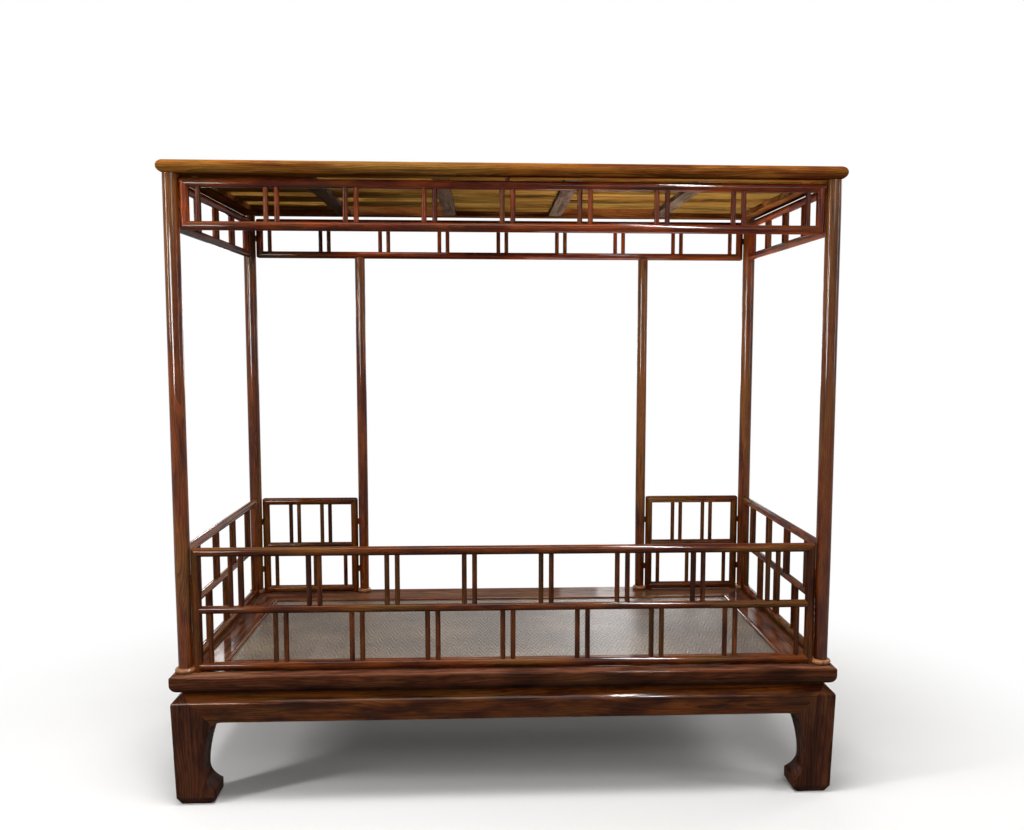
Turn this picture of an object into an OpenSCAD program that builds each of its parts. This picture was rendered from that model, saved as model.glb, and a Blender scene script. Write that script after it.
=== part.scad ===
// Six-post canopy bed in round-section timber. A waisted base on hoof feet carries a woven cane
// sleeping mat, five lattice railings, four lattice friezes and a mitred canopy frame.
// X runs along the bed, +Y points out through the entrance and +Z is up. The origin lies on the
// floor under the middle of the base. The back is the long side with the unbroken railing.

/* [Sleeping frame] */
// Length of the sleeping frame, edge to edge
base_w = 2124; // [1900:2:2400]
// Depth of the sleeping frame, edge to edge
base_d = 1114; // [1000:2:1400]
// Height of the sleeping frame's top face
bed_h = 420; // [390:1:500]
// Thickness of the frame boards
board_t = 56; // [50:1:64]
// Width of the two end boards
end_board_w = 148; // [136:1:180]
// Width of the two long boards
long_board_w = 178; // [160:1:220]
// Radius of the frame's upper edge
frame_edge_r = 6; // [3:1:14]
// Radius of the curve under the frame's edge
frame_curve_r = 32; // [20:1:36]
// Width of the rebate that takes the mat
rebate_w = 16; // [14:1:24]
// Depth of the rebate that takes the mat
rebate_h = 8; // [6:1:10]

/* [Mat] */
// Thickness of the woven cane mat
mat_t = 3; // [2:0.5:5]
// How much thinner the mat's rim is, where the bead presses it down
mat_press = 0.6; // [0.3:0.1:1]
// Width of the bead that holds the mat's edge
bead_w = 12; // [8:1:13]
// Height of the bead above the frame boards
bead_proud = 1; // [0:0.5:3]
// Thickness of the coir webbing under the mat
webbing_t = 4; // [2:0.5:8]
// Number of bent stretchers under the mat
stretcher_count = 4; // [2:1:6]
// Width of a stretcher
stretcher_w = 45; // [30:1:60]
// Thickness of a stretcher
stretcher_t = 26; // [18:1:30]
// Sag of a stretcher at mid-span
stretcher_sag = 24; // [10:1:40]
// Length of a stretcher's tenon
stretcher_tenon = 18; // [10:1:25]

/* [Waist and aprons] */
// Visible height of the recessed waist
waist_h = 5; // [4:1:16]
// Thickness of the waist strips
waist_t = 18; // [12:1:18]
// Height of the tongues along both edges of a waist strip
waist_tongue_h = 6; // [4:1:8]
// Thickness of those tongues
waist_tongue_t = 8; // [5:1:10]
// Height of the aprons
apron_h = 87; // [76:1:100]
// Thickness of the aprons
apron_t = 52; // [50:1:56]
// Distance from the frame's edge in to the apron's face
apron_inset = 2; // [1:1:12]
// Distance from the apron's face in to the waist
shoulder_in = 30; // [26:1:34]
// Drop of the apron's sloping shoulder
shoulder_drop = 26; // [20:1:40]
// Radius of the curve where an apron runs into a leg
corner_curve_r = 45; // [30:1:60]

/* [Legs] */
// Width of a leg just under the aprons
leg_w = 112; // [106:1:122]
// Width of a leg at the ankle
ankle_w = 94; // [80:1:100]
// Height of the ankle
ankle_z = 108; // [95:1:125]
// Width of a foot across the toe
toe_w = 125; // [114:1:132]
// Height of the toe's tip
toe_h = 42; // [34:1:55]
// Rise of the toe's upper face from the tip back to the ankle's curve
toe_rise = 34; // [10:1:45]
// Height of the toe's lower edge
toe_low = 9; // [4:1:16]
// Width from the leg's face line to the inner edge of the sole
sole_w = 110; // [100:1:116]
// Taper of a leg's outer faces, top to foot
leg_taper = 8; // [2:1:12]
// Width of the chamfer round a foot's outer edges
foot_chamfer_w = 14; // [8:1:18]
// Height of that chamfer
foot_chamfer_h = 24; // [14:1:30]
// Width of the square tenon on top of a leg
leg_tenon_w = 36; // [24:1:40]
// Length of that tenon
leg_tenon_l = 18; // [12:1:20]

/* [Posts] */
// Distance from the frame's ends in to the corner posts' axes
post_end_inset = 37; // [36:1:60]
// Distance from the frame's back edge in to the back posts' axes
post_back_inset = 60; // [40:1:80]
// Distance from the frame's entrance edge in to the front posts' axes
post_front_inset = 39; // [36:1:60]
// Clear way between the entrance posts, axis to axis
entrance_w = 1164; // [900:2:1300]
// Diameter of the corner posts
corner_post_d = 48; // [42:1:54]
// Diameter of the corner posts at their foot
corner_foot_d = 44; // [38:1:50]
// Diameter of the two entrance posts
entrance_post_d = 40; // [34:1:44]
// Diameter of the entrance posts at their foot
entrance_foot_d = 37; // [31:1:42]
// Height over which a post tapers to its foot
post_taper_h = 300; // [100:10:500]
// Diameter of a corner post's turned base
corner_base_d = 66; // [60:1:74]
// Diameter of an entrance post's turned base
entrance_base_d = 55; // [48:1:60]
// Height of the turned bases
post_base_h = 16; // [10:1:20]
// Diameter of the round tenons at the ends of the posts
post_tenon_d = 18; // [12:1:20]
// Length of those tenons
post_tenon_l = 26; // [16:1:30]

/* [Railings] */
// Height of the railings above the frame
railing_h = 400; // [340:1:460]
// Height of the middle rail's axis above the frame
middle_rail_z = 200; // [160:1:240]
// Diameter of the stiles and of the top and bottom rails
rail_d = 29; // [24:1:32]
// Diameter of the middle rails
middle_rail_d = 25; // [22:1:27]
// Gap under the bottom rails
rail_lift = 1.5; // [1:0.5:6]
// Gap between a railing or frieze and the posts
panel_gap = 3; // [1:0.5:6]
// Diameter of the struts
strut_d = 16; // [12:1:19]
// Distance between the two struts of a pair, axis to axis
pair_gap = 33; // [26:1:44]
// Distance from a stile to the single strut beside it, axis to axis
single_gap = 40; // [32:1:50]
// Number of bays in the lower row of the back railing
long_bays = 8; // [4:1:10]
// Number of bays in the lower row of a side railing
side_bays = 4; // [2:1:6]
// Number of bays in the lower row of an entrance railing
entrance_bays = 2; // [1:1:3]
// Radius of the rounded outer corners of railings and friezes
corner_round = 12; // [4:1:13]

/* [Friezes] */
// Height of a frieze
frieze_h = 157; // [120:1:220]
// Gap between the friezes and the canopy
frieze_gap = 12; // [6:1:20]
// Diameter of a frieze's rails and stiles
frieze_d = 28; // [24:1:32]
// Width of the spacer between a long frieze and the canopy
spacer_w = 13; // [8:1:20]

/* [Canopy] */
// Height of the canopy's underside above the floor
canopy_z = 1974; // [1800:2:2200]
// Thickness of the canopy members
canopy_t = 40; // [36:1:50]
// Width of the canopy members
canopy_w = 80; // [70:1:100]
// Distance from the corner posts' axes out to the canopy's edge
canopy_over = 34; // [28:1:60]
// Number of crossbars
crossbar_count = 4; // [2:1:6]
// Width of a crossbar
crossbar_w = 50; // [40:1:70]
// Width of the ledges and rebates that carry the slats
slat_seat_w = 12; // [8:1:15]
// Thickness of the slats
slat_t = 18; // [12:1:20]
// Width of the slats
slat_w = 142; // [100:1:180]
// Distance from slat to slat, centre to centre
slat_pitch = 237; // [190:1:260]
// Distance of the slats' rows from the canopy's middle, toward the entrance
slat_shift = 37; // [0:1:60]
// Further shift of the slats in the right end bay
end_bay_shift = 60; // [0:1:110]
// Distance from the slats' top down from the canopy's top
slat_drop = 3; // [1:1:6]
// Length of a crossbar's tenon
crossbar_tenon = 20; // [12:1:30]

/* [Joints] */
// Gap left in every joint between two pieces
joint_gap = 0.3; // [0.2:0.1:0.5]
// Depth of the struts' tenons in the rails
strut_tenon_l = 8; // [4:1:9]
// Thickness of the struts' tenons
strut_tenon_t = 6; // [4:1:8]
// Width of the struts' tenons
strut_tenon_w = 9; // [6:1:11]
// Depth of the tongues that lock railings and friezes to the posts
tongue_l = 11; // [6:1:12]
// Thickness of those tongues
tongue_t = 8; // [5:1:9]
// Height of those tongues
tongue_h = 24; // [14:1:30]

/* [Hidden] */
$fn = 40;
wood_dark = "#4a2314";
wood_red = "#6b2f16";
wood_gold = "#8a5a24";
wood_slat = "#9a7434";
cane = "#9c8b76";
coir = "#6e5236";

frame_under = bed_h - board_t;
apron_top = frame_under - waist_h;
apron_low = apron_top - apron_h;
shoulder_z = apron_top - shoulder_drop;
leg_x = base_w / 2 - apron_inset;
leg_y = base_d / 2 - apron_inset;
mitre_run = apron_h + corner_curve_r;

post_x = base_w / 2 - post_end_inset;
post_back = post_back_inset - base_d / 2;
post_front = base_d / 2 - post_front_inset;
post_span_x = 2 * post_x;
post_span_y = post_front - post_back;
post_mid_y = (post_back + post_front) / 2;
post_foot_z = bed_h + post_base_h;
rail_r = rail_d / 2;
top_rail_z = bed_h + railing_h - rail_r;
middle_z = bed_h + middle_rail_z;
bottom_rail_z = bed_h + rail_lift + rail_r;
corner_stile = corner_post_d / 2 + rail_r + panel_gap;
entrance_stile = entrance_post_d / 2 + rail_r + panel_gap;
entrance_rail_l = (post_span_x - entrance_w) / 2;

frieze_r = frieze_d / 2;
frieze_top_z = canopy_z - frieze_gap - frieze_r;
frieze_low_z = canopy_z - frieze_gap - frieze_h + frieze_r;
frieze_stile = corner_post_d / 2 + frieze_r + panel_gap;

canopy_x = post_x + canopy_over;
canopy_y = post_span_y / 2 + canopy_over;
slat_z = canopy_z + canopy_t - slat_drop - slat_t;
crossbar_pitch = 2 * canopy_x / (crossbar_count + 1);
canopy_clear_y = 2 * (canopy_y - canopy_w);

// Shared shapes

// A flat shape drawn in X and Z, given a depth along +Y
module along_y(depth) {
  translate([0, depth, 0]) rotate([90, 0, 0]) linear_extrude(depth) children();
}

// A flat shape drawn in Y and Z, given a length along +X
module along_x(length) {
  rotate([90, 0, 90]) linear_extrude(length) children();
}

// A round bar along +X from the origin
module bar_x(length, d) {
  rotate([0, 90, 0]) cylinder(h = length, d = d);
}

// A box whose middle in X and Y is the origin
module centred_box(size) {
  translate([-size[0] / 2, -size[1] / 2, 0]) cube(size);
}

// The child and its mirror image across X = 0
module both_sides() {
  children();
  mirror([1, 0, 0]) children();
}

// Points of a curve from a to b, drawn toward c
function curve(a, c, b, steps) = [
  for (i = [0:steps]) let (t = i / steps)
    (1 - t) * (1 - t) * a + 2 * t * (1 - t) * c + t * t * b
];

// Section of a board with a rounded outer edge at zero: one radius above, another below
module edge_section(width, thickness, top_r, under_r) {
  intersection() {
    square([width, thickness]);
    union() {
      translate([top_r, thickness - top_r]) circle(top_r);
      intersection() {
        translate([under_r, under_r]) circle(under_r);
        square([under_r, under_r]);
      }
      polygon([
        [top_r, thickness], [width, thickness], [width, 0], [under_r, 0], [0, under_r],
        [0, thickness - top_r]
      ]);
    }
  }
}

// A board of a mitred frame, along X, its outer edge on Y = 0, its mitres end_w long
module mitred_board(length, width, end_w, thickness, top_r, under_r) {
  g = joint_gap / 2;
  intersection() {
    translate([-length / 2, 0, 0]) along_x(length)
      edge_section(width, thickness, top_r, under_r);
    linear_extrude(thickness) polygon([
      [-length / 2 + g, 0], [length / 2 - g, 0],
      [length / 2 - end_w - g, width], [-length / 2 + end_w + g, width]
    ]);
  }
}

// Legs

// Line of a leg's and an apron's outer face, from the waist down to the foot
function face_line() = concat(
  [[shoulder_in, frame_under], [shoulder_in, apron_top]],
  curve([0.12 * shoulder_in, shoulder_z + 0.13 * shoulder_drop], [0, shoulder_z],
    [0, shoulder_z - 0.25 * shoulder_drop], 4)
);

// Line of a leg's inner face: under the apron, down the ankle, out over the hoof to the sole
function leg_inner_line() = concat(
  [for (i = [8:-1:1]) let (t = i / 8)
    [ankle_w + (leg_w - ankle_w) * t * t, ankle_z + (apron_low - corner_curve_r - ankle_z) * t]],
  curve([ankle_w, ankle_z], [ankle_w, toe_h + toe_rise], [toe_w, toe_h], 8),
  [[toe_w, toe_low], [sole_w, 0]]
);

module leg_profile() {
  polygon(concat(
    [[leg_taper + foot_chamfer_w, 0], [leg_taper, foot_chamfer_h]],
    [for (i = [len(face_line()) - 1:-1:0]) face_line()[i]],
    [[leg_w, frame_under]],
    leg_inner_line()
  ));
}

// The part of the corner curve that grows out of a leg
module leg_curve_tip() {
  difference() {
    translate([leg_w - 1, apron_low - corner_curve_r])
      square([corner_curve_r + 1, corner_curve_r]);
    translate([leg_w + corner_curve_r, apron_low - corner_curve_r]) circle(corner_curve_r);
  }
}

// Everything on the apron's side of the mitre
module beyond_mitre() {
  g = joint_gap;
  polygon([
    [shoulder_in - g, apron_top + g], [shoulder_in + mitre_run - g, apron_top - mitre_run],
    [2 * leg_w + mitre_run, apron_top - mitre_run], [2 * leg_w + mitre_run, apron_top + g]
  ]);
}

// Tongue of an apron in the leg, as seen from the leg's outer corner; extra widens the mortise
module apron_tongue(extra) {
  middle = apron_top - apron_h / 2;
  start = shoulder_in + (apron_top - middle) - 24;
  translate([start - extra, 0.5 * apron_t - tongue_t - extra, middle - tongue_h / 2 - extra])
    cube([40 + extra, 2 * tongue_t + 2 * extra, tongue_h + 2 * extra]);
}

// A leg with its outer corner over the origin, growing toward +X and +Y
module leg_shape() {
  tenon_mid = (shoulder_in + leg_w) / 2;
  difference() {
    union() {
      intersection() {
        along_y(toe_w) leg_profile();
        along_x(toe_w) leg_profile();
      }
      intersection() {
        along_y(apron_t) leg_curve_tip();
        along_x(toe_w + corner_curve_r) leg_profile();
      }
      intersection() {
        along_x(apron_t) leg_curve_tip();
        along_y(toe_w + corner_curve_r) leg_profile();
      }
      translate([tenon_mid, tenon_mid, frame_under - 1])
        centred_box([leg_tenon_w, leg_tenon_w, leg_tenon_l + 1]);
    }
    translate([0, -1, 0]) along_y(apron_t + 1 + joint_gap) beyond_mitre();
    translate([-1, 0, 0]) along_x(apron_t + 1 + joint_gap) beyond_mitre();
    apron_tongue(joint_gap);
    mirror([1, -1, 0]) apron_tongue(joint_gap);
  }
}

module leg_at_back_left() {
  translate([-leg_x, -leg_y, 0]) leg_shape();
}

module leg_back_left() {
  color(wood_dark) leg_at_back_left();
}

module leg_back_right() {
  color(wood_dark) mirror([1, 0, 0]) leg_at_back_left();
}

module leg_front_left() {
  color(wood_dark) mirror([0, 1, 0]) leg_at_back_left();
}

module leg_front_right() {
  color(wood_dark) mirror([0, 1, 0]) mirror([1, 0, 0]) leg_at_back_left();
}

// Aprons

module apron_section() {
  low = apron_top - mitre_run;
  fall = leg_taper * (shoulder_z - 0.25 * shoulder_drop - low)
    / (shoulder_z - 0.25 * shoulder_drop - foot_chamfer_h);
  line = face_line();
  difference() {
    polygon(concat(
      [for (i = [1:len(line) - 1]) line[i]],
      [[fall, low], [apron_t, low], [apron_t, apron_top]]
    ));
    translate([shoulder_in + (waist_t - waist_tongue_t) / 2 - joint_gap,
      apron_top - waist_tongue_h - joint_gap])
      square([waist_tongue_t + 2 * joint_gap, waist_tongue_h + 1]);
  }
}

module apron_front_view(length) {
  opening_x = length / 2 - leg_w - corner_curve_r;
  difference() {
    polygon([
      [-length / 2 + shoulder_in, apron_top], [length / 2 - shoulder_in, apron_top],
      [length / 2 - shoulder_in - mitre_run, apron_top - mitre_run],
      [-length / 2 + shoulder_in + mitre_run, apron_top - mitre_run]
    ]);
    translate([-opening_x, apron_low - 2 * corner_curve_r])
      square([2 * opening_x, 2 * corner_curve_r]);
    for (side = [-1, 1])
      translate([side * opening_x, apron_low - corner_curve_r]) circle(corner_curve_r);
  }
}

// An apron along X with its face on Y = 0
module apron(length) {
  intersection() {
    translate([-length / 2, 0, 0]) along_x(length) apron_section();
    along_y(apron_t) apron_front_view(length);
  }
  both_sides()
    intersection() {
      translate([-length / 2, 0, 0]) apron_tongue(0);
      translate([-length / 2, 0, 0]) along_y(apron_t)
        square([length / 2, apron_top]);
    }
}

module apron_back() {
  color(wood_dark) translate([0, -leg_y, 0]) apron(2 * leg_x);
}

module apron_front() {
  color(wood_dark) mirror([0, 1, 0]) translate([0, -leg_y, 0]) apron(2 * leg_x);
}

module apron_left() {
  color(wood_dark) translate([-leg_x, 0, 0]) rotate([0, 0, -90]) apron(2 * leg_y);
}

module apron_right() {
  color(wood_dark) mirror([1, 0, 0]) translate([-leg_x, 0, 0]) rotate([0, 0, -90])
    apron(2 * leg_y);
}

// Waist

// A waist strip along X between two legs, its face shoulder_in behind Y = 0
module waist_strip(length) {
  run = length - 2 * (leg_w + joint_gap);
  g = joint_gap / 2;
  translate([-run / 2, shoulder_in, apron_top + g]) cube([run, waist_t, waist_h - 2 * g]);
  translate([-run / 2, shoulder_in + (waist_t - waist_tongue_t) / 2, apron_top - waist_tongue_h])
    cube([run, waist_tongue_t, waist_h + 2 * waist_tongue_h]);
}

module waist_back() {
  color(wood_dark) translate([0, -leg_y, 0]) waist_strip(2 * leg_x);
}

module waist_front() {
  color(wood_dark) mirror([0, 1, 0]) translate([0, -leg_y, 0]) waist_strip(2 * leg_x);
}

module waist_left() {
  color(wood_dark) translate([-leg_x, 0, 0]) rotate([0, 0, -90]) waist_strip(2 * leg_y);
}

module waist_right() {
  color(wood_dark) mirror([1, 0, 0]) translate([-leg_x, 0, 0]) rotate([0, 0, -90])
    waist_strip(2 * leg_y);
}

// Sleeping frame

frame_tenon_z = frame_under + leg_tenon_l + 0.12 * board_t;
frame_tenon_t = 0.22 * board_t;

// Tenon at the left end of a back board, in the bed's own frame
module frame_tenon(extra) {
  reach = end_board_w * 0.5;
  translate([-base_w / 2 + 0.25 * end_board_w - extra, -base_d / 2 + 0.5 * long_board_w - extra,
    frame_tenon_z - extra])
    cube([reach + extra, 0.34 * long_board_w + 2 * extra, frame_tenon_t + 2 * extra]);
}

// Mortises and grooves in the frame's underside and the sockets for the posts
module frame_cuts() {
  tenon_mid = apron_inset + (shoulder_in + leg_w) / 2;
  g = joint_gap;
  both_sides()
    for (side = [-1, 1])
      translate([base_w / 2 - tenon_mid, side * (base_d / 2 - tenon_mid), frame_under - 1])
        centred_box([leg_tenon_w + 2 * g, leg_tenon_w + 2 * g, leg_tenon_l + 1 + g]);
  groove = waist_tongue_t + 2 * g;
  groove_mid = apron_inset + shoulder_in + waist_t / 2;
  groove_x = 2 * (leg_x - leg_w);
  groove_y = 2 * (leg_y - leg_w);
  for (side = [-1, 1]) {
    translate([0, side * (base_d / 2 - groove_mid), frame_under - 1])
      centred_box([groove_x, groove, waist_tongue_h + 1 + g]);
    translate([side * (base_w / 2 - groove_mid), 0, frame_under - 1])
      centred_box([groove, groove_y, waist_tongue_h + 1 + g]);
  }
  for (p = post_places())
    translate([p[0], p[1], bed_h - post_tenon_l - g])
      cylinder(h = post_tenon_l + 1, d = post_tenon_d + 2 * g);
}

// Where the six posts stand
function post_places() = [
  [-post_x, post_back], [post_x, post_back], [-post_x, post_front], [post_x, post_front],
  [-entrance_w / 2, post_front], [entrance_w / 2, post_front]
];

module mat_rebate() {
  translate([0, 0, bed_h - rebate_h]) centred_box([
    base_w - 2 * (end_board_w - rebate_w), base_d - 2 * (long_board_w - rebate_w), rebate_h + 1
  ]);
}

// A long board before its sockets are cut, at the back of the bed
module long_frame_board() {
  difference() {
    union() {
      translate([0, -base_d / 2, frame_under])
        mitred_board(base_w, long_board_w, end_board_w, board_t, frame_edge_r, frame_curve_r);
      both_sides() frame_tenon(0);
    }
    mat_rebate();
    stretcher_mortises();
  }
}

module end_frame_board() {
  difference() {
    translate([-base_w / 2, 0, frame_under]) rotate([0, 0, -90])
      mitred_board(base_d, end_board_w, long_board_w, board_t, frame_edge_r, frame_curve_r);
    mat_rebate();
    frame_cuts();
    frame_tenon(joint_gap);
    mirror([0, 1, 0]) frame_tenon(joint_gap);
  }
}

module frame_board_back() {
  color(wood_dark) difference() {
    long_frame_board();
    frame_cuts();
  }
}

module frame_board_front() {
  color(wood_dark) difference() {
    mirror([0, 1, 0]) long_frame_board();
    frame_cuts();
  }
}

module frame_board_left() {
  color(wood_dark) end_frame_board();
}

module frame_board_right() {
  color(wood_dark) mirror([1, 0, 0]) end_frame_board();
}

// Mat and what carries it

mat_x = base_w - 2 * (end_board_w - rebate_w);
mat_y = base_d - 2 * (long_board_w - rebate_w);
bed_clear_x = base_w - 2 * end_board_w;
bed_clear_y = base_d - 2 * long_board_w;
stretcher_z = bed_h - rebate_h - webbing_t - joint_gap;
stretcher_pitch = bed_clear_x / (stretcher_count + 1);
stretcher_tenon_t = 14;

// Middle of each stretcher along the bed
function stretcher_places() = [
  for (i = [1:stretcher_count]) -bed_clear_x / 2 + i * stretcher_pitch
];

module stretcher_tenon_box(length, extra) {
  translate([-stretcher_w / 4 - extra, -bed_clear_y / 2 - length - extra,
    stretcher_z - stretcher_t / 2 - stretcher_tenon_t / 2 - extra])
    cube([stretcher_w / 2 + 2 * extra, length + stretcher_t, stretcher_tenon_t + 2 * extra]);
}

module stretcher_mortises() {
  for (x = stretcher_places()) translate([x, 0, 0]) stretcher_tenon_box(stretcher_tenon, joint_gap);
}

module bent_stretcher() {
  half = bed_clear_y / 2 - joint_gap;
  steps = 12;
  along = [for (i = [-steps:steps]) half * i / steps];
  translate([-stretcher_w / 2, 0, 0]) along_x(stretcher_w) polygon(concat(
    [for (y = along) [y, stretcher_z - stretcher_sag * (1 - pow(y / half, 2))]],
    [for (i = [2 * steps:-1:0])
      [along[i], stretcher_z - stretcher_t - stretcher_sag * (1 - pow(along[i] / half, 2))]]
  ));
  stretcher_tenon_box(stretcher_tenon, 0);
  mirror([0, 1, 0]) stretcher_tenon_box(stretcher_tenon, 0);
}

module under_stretchers() {
  color(wood_red) for (x = stretcher_places()) translate([x, 0, 0]) bent_stretcher();
}

module coir_webbing() {
  color(coir) translate([0, 0, bed_h - rebate_h - webbing_t])
    centred_box([bed_clear_x - 2 * joint_gap, bed_clear_y - 2 * joint_gap, webbing_t]);
}

// The mat, its rim pressed down along the bead that holds it
module cane_mat() {
  rim = 2 * (bead_w + 2 * joint_gap);
  color(cane) translate([0, 0, bed_h - rebate_h]) {
    centred_box([mat_x - 2 * joint_gap, mat_y - 2 * joint_gap, mat_t - mat_press]);
    centred_box([mat_x - rim, mat_y - rim, mat_t]);
  }
}

// One bead strip along X, its outer edge on Y = 0
module bead_strip(length) {
  g = joint_gap / 2;
  height = rebate_h - mat_t + mat_press + bead_proud;
  intersection() {
    translate([-length / 2, 0, 0]) along_x(length) union() {
      square([bead_w, height / 2]);
      translate([0, height / 2]) intersection() {
        translate([bead_w / 2, -height]) circle(1.5 * height);
        square([bead_w, height / 2]);
      }
    }
    linear_extrude(height) polygon([
      [-length / 2 + g, 0], [length / 2 - g, 0],
      [length / 2 - bead_w - g, bead_w], [-length / 2 + bead_w + g, bead_w]
    ]);
  }
}

module mat_bead() {
  long = mat_x - 2 * joint_gap;
  short = mat_y - 2 * joint_gap;
  color(wood_red) translate([0, 0, bed_h - rebate_h + mat_t - mat_press])
    for (turn = [0, 180]) rotate([0, 0, turn]) {
      translate([0, -short / 2, 0]) bead_strip(long);
      translate([-long / 2, 0, 0]) rotate([0, 0, -90]) bead_strip(short);
    }
}

// Posts

// A turned post: foot tenon, tapered foot and shaft up to top_z
module turned_post(d, foot_d, top_z) {
  translate([0, 0, bed_h - post_tenon_l]) cylinder(h = post_tenon_l + post_base_h + 1,
    d = post_tenon_d);
  translate([0, 0, post_foot_z + joint_gap]) cylinder(h = post_taper_h, d1 = foot_d, d2 = d);
  translate([0, 0, post_foot_z + joint_gap + post_taper_h])
    cylinder(h = top_z - post_foot_z - joint_gap - post_taper_h, d = d);
}

// Heights of the tongues that lock a railing, and those that lock a frieze
function railing_tongue_zs() = [bed_h + railing_h * 0.25, bed_h + railing_h * 0.75];
function frieze_tongue_zs() = [(frieze_low_z + frieze_top_z) / 2];

// Mortises for a panel's tongues in a post, on its +X side
module tongue_mortises(zs, post_d) {
  g = joint_gap;
  for (z = zs)
    translate([post_d / 2 - tongue_l - g, -tongue_t / 2 - g, z - tongue_h / 2 - g])
      cube([tongue_l + post_d, tongue_t + 2 * g, tongue_h + 2 * g]);
}

// A corner post whose panels leave it toward +X and +Y
module corner_post() {
  difference() {
    union() {
      turned_post(corner_post_d, corner_foot_d, canopy_z - joint_gap);
      translate([0, 0, canopy_z - 1]) cylinder(h = post_tenon_l + 1 - joint_gap,
        d = post_tenon_d);
    }
    tongue_mortises(concat(railing_tongue_zs(), frieze_tongue_zs()), corner_post_d);
    rotate([0, 0, 90])
      tongue_mortises(concat(railing_tongue_zs(), frieze_tongue_zs()), corner_post_d);
  }
}

module corner_post_back_left() {
  color(wood_red) translate([-post_x, post_back, 0]) corner_post();
}

module corner_post_back_right() {
  color(wood_red) translate([post_x, post_back, 0]) mirror([1, 0, 0]) corner_post();
}

module corner_post_front_left() {
  color(wood_red) translate([-post_x, post_front, 0]) mirror([0, 1, 0]) corner_post();
}

module corner_post_front_right() {
  color(wood_red) translate([post_x, post_front, 0]) mirror([1, 0, 0]) mirror([0, 1, 0])
    corner_post();
}

// An entrance post under the front frieze, its railing on the -X side
module entrance_post() {
  peg_d = 0.5 * frieze_d;
  top_z = frieze_low_z - 0.64 * frieze_r;
  difference() {
    turned_post(entrance_post_d, entrance_foot_d, top_z);
    translate([-entrance_post_d, 0, frieze_low_z])
      bar_x(2 * entrance_post_d, frieze_d + 2 * joint_gap);
    mirror([1, 0, 0]) tongue_mortises(railing_tongue_zs(), entrance_post_d);
  }
  translate([0, 0, frieze_low_z - frieze_r - peg_d]) cylinder(h = 1.5 * peg_d, d = peg_d);
}

module entrance_post_left() {
  color(wood_red) translate([-entrance_w / 2, post_front, 0]) entrance_post();
}

module entrance_post_right() {
  color(wood_red) translate([entrance_w / 2, post_front, 0]) mirror([1, 0, 0]) entrance_post();
}

// A turned base with a half-round edge
module post_base(d) {
  edge_r = post_base_h / 2;
  translate([0, 0, bed_h]) difference() {
    rotate_extrude() {
      square([d / 2 - edge_r, post_base_h]);
      translate([d / 2 - edge_r, edge_r]) intersection() {
        circle(edge_r);
        translate([0, -edge_r]) square([edge_r, 2 * edge_r]);
      }
    }
    translate([0, 0, -1]) cylinder(h = post_base_h + 2, d = post_tenon_d + 2 * joint_gap);
  }
}

module corner_post_bases() {
  color(wood_gold) for (i = [0:3]) translate(post_places()[i]) post_base(corner_base_d);
}

module entrance_post_bases() {
  color(wood_gold) for (i = [4:5]) translate(post_places()[i]) post_base(entrance_base_d);
}

// Lattice panels, each drawn along X from the first post's axis to the second's. a and b are the
// distances from those axes to the panel's stiles.

// Struts of a row of pairs about the given centres
function pairs(centres) = [for (c = centres) for (side = [-0.5, 0.5]) c + side * pair_gap];

// Row with a single strut by each stile and pairs between
function stile_row(a, b, span, bays) =
  let (s = span - a - b, e = single_gap / 2, pitch = (s - 2 * e) / bays)
  concat(
    [a + single_gap], bays > 1 ? pairs([for (i = [1:bays - 1]) a + e + i * pitch]) : [],
    [span - b - single_gap]
  );

// Row of pairs, one in the middle of each bay
function bay_row(a, b, span, bays) =
  let (pitch = (span - a - b) / bays) pairs([for (i = [0:bays - 1]) a + (i + 0.5) * pitch]);

// Row of pairs that leaves equal openings
function open_row(a, b, span, bays) =
  let (
    s = span - a - b,
    pair_w = pair_gap + strut_d,
    opening = (s - rail_d - bays * pair_w) / (bays + 1)
  )
  pairs([for (i = [0:bays - 1]) a + rail_r + (i + 1) * opening + (i + 0.5) * pair_w]);

// Outline of a panel with rounded upper corners, and rounded lower ones where lower is true
module panel_outline(x0, x1, z0, z1, lower) {
  r = corner_round;
  low_r = lower ? r : 0;
  translate([x0, z0 + low_r]) square([x1 - x0, z1 - z0 - r - low_r]);
  translate([x0 + r, z0]) square([x1 - x0 - 2 * r, z1 - z0]);
  for (x = [x0 + r, x1 - r]) {
    translate([x, z1 - r]) circle(r);
    if (lower) translate([x, z0 + r]) circle(r);
  }
}

// A round rail whose ends are mitred at 45 degrees, the mitres pointing up or down
module mitred_rail(x0, x1, z, d, up) {
  r = d / 2;
  g = joint_gap / 2;
  k = up ? 1 : -1;
  intersection() {
    translate([x0 - r, 0, z]) bar_x(x1 - x0 + 2 * r, d);
    translate([0, -d, 0]) along_y(2 * d) polygon([
      [x0 - r + g, z + k * r], [x1 + r - g, z + k * r],
      [x1 - r - g, z - k * r], [x0 + r + g, z - k * r]
    ]);
  }
}

// Mortises for struts in a rail: dir is 1 where the struts stand on it, -1 where they hang
module strut_mortises(xs, z, d, dir) {
  g = joint_gap / 2;
  low = dir > 0 ? d / 2 - strut_tenon_l - g : -d / 2 - 1;
  for (x = xs)
    translate([x, 0, z + low])
      centred_box([strut_tenon_w + 2 * g, strut_tenon_t + 2 * g, strut_tenon_l + 1 + g]);
}

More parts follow.
